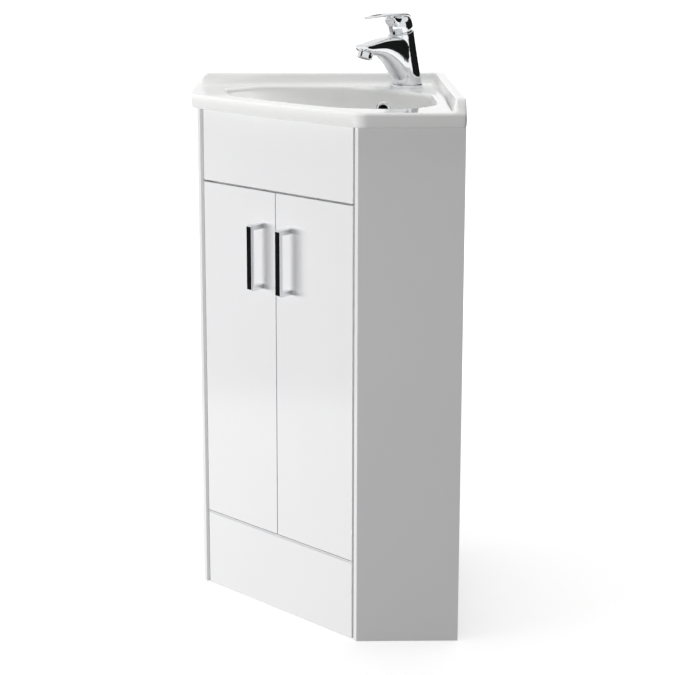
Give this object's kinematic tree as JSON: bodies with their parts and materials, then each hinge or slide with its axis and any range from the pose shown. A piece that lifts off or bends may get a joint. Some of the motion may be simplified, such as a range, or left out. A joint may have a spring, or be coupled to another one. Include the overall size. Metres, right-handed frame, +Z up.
{
  "type": "corner vanity unit",
  "caption": "Floor-standing corner vanity unit: five-sided gloss cabinet with two hinged doors, bar handles and plinth, ceramic basin on top with overflow and a lever mixer tap.",
  "frame": {"origin": "on the floor, below the middle of the unit's overall width and depth", "axes": "+Z up, -Y out of the doors' front, +X to the right of someone facing the doors; the room's corner is at +Y"},
  "size_m": [0.598, 0.4234, 0.9538],
  "materials": {
    "gloss_white_board": "board with a high-gloss white face",
    "white_melamine": "board faced with satin white melamine",
    "fitting_plastic": "moulded, satin",
    "pipe_plastic": "moulded white polypropylene",
    "vitreous_china": "glossy white glaze",
    "chrome_plate": "polished",
    "zinc_steel": "bright zinc and nickel plate",
    "rubber_seal": "moulded black",
    "clear_bumper": "clear soft dot",
    "cartridge_plastic": "moulded",
    "marker_cap": "plated cap",
    "brass_nut": "machined"
  },
  "bodies": {
    "cabinet": {"left_side_panel": "gloss_white_board", "right_side_panel": "gloss_white_board", "base_shelf": "white_melamine", "plinth_panel": "gloss_white_board", "fascia_panel": "gloss_white_board", "fascia_rail": "white_melamine", "upper_rail_left": "white_melamine", "upper_rail_right": "white_melamine", "lower_rail_left": "white_melamine", "lower_rail_right": "white_melamine", "corner_post": "white_melamine", "joint_blocks": "fitting_plastic", "cam_locks": "zinc_steel", "inner_shelf": "white_melamine", "shelf_pins": "zinc_steel", "left_hinge_plates": "zinc_steel", "right_hinge_plates": "zinc_steel", "left_hinge_arms": "zinc_steel", "right_hinge_arms": "zinc_steel", "hinge_screws": "zinc_steel", "basin": "vitreous_china", "overflow_ring": "chrome_plate", "waste_body": "chrome_plate", "waste_seals": "rubber_seal", "waste_nut": "pipe_plastic", "trap_inlet_nut": "pipe_plastic", "trap_body": "pipe_plastic", "trap_bottle": "pipe_plastic", "trap_outlet_nut": "pipe_plastic", "tap_body": "chrome_plate", "tap_base_ring": "chrome_plate", "aerator_housing": "chrome_plate", "aerator_screen": "cartridge_plastic", "cartridge": "cartridge_plastic", "cartridge_dome": "chrome_plate", "tap_stud": "zinc_steel", "tap_washer": "rubber_seal", "tap_clamp_plate": "zinc_steel", "tap_fixing_nut": "brass_nut"},
    "left_door": {"left_door": "gloss_white_board", "left_handle": "chrome_plate", "left_handle_screws": "zinc_steel", "left_hinge_cups": "zinc_steel", "left_cup_screws": "zinc_steel", "left_hinge_links": "zinc_steel", "left_door_buffers": "clear_bumper"},
    "right_door": {"right_door": "gloss_white_board", "right_handle": "chrome_plate", "right_handle_screws": "zinc_steel", "right_hinge_cups": "zinc_steel", "right_cup_screws": "zinc_steel", "right_hinge_links": "zinc_steel", "right_door_buffers": "clear_bumper"},
    "tap_spindle": {"cartridge_spindle": "zinc_steel", "lever_pin": "zinc_steel"},
    "tap_lever": {"tap_lever": "chrome_plate", "lever_screw": "zinc_steel", "lever_marker": "marker_cap"},
    "waste_plug": {"waste_plug": "chrome_plate"}
  },
  "joints": [
    {"name": "left_door_hinge", "type": "hinge", "parent": "cabinet", "child": "left_door", "pos_m": [-0.1654, -0.18423, 0.408], "axis": [0, 0, -1], "range_deg": [0, 95]},
    {"name": "right_door_hinge", "type": "hinge", "parent": "cabinet", "child": "right_door", "pos_m": [0.1654, -0.18423, 0.408], "axis": [0, 0, 1], "range_deg": [0, 95]},
    {"name": "lever_swivel", "type": "hinge", "parent": "cabinet", "child": "tap_spindle", "pos_m": [0, 0.10327, 0.9215], "axis": [0, -0.2419, 0.9703], "range_deg": [-45, 45]},
    {"name": "lever_lift", "type": "hinge", "parent": "tap_spindle", "child": "tap_lever", "pos_m": [0, 0.10133, 0.92926], "axis": [-1, 0, 0], "range_deg": [0, 20]},
    {"name": "plug_slide", "type": "slide", "parent": "cabinet", "child": "waste_plug", "axis": [0, 0, 1], "range_m": [0, 0.007]}
  ]
}
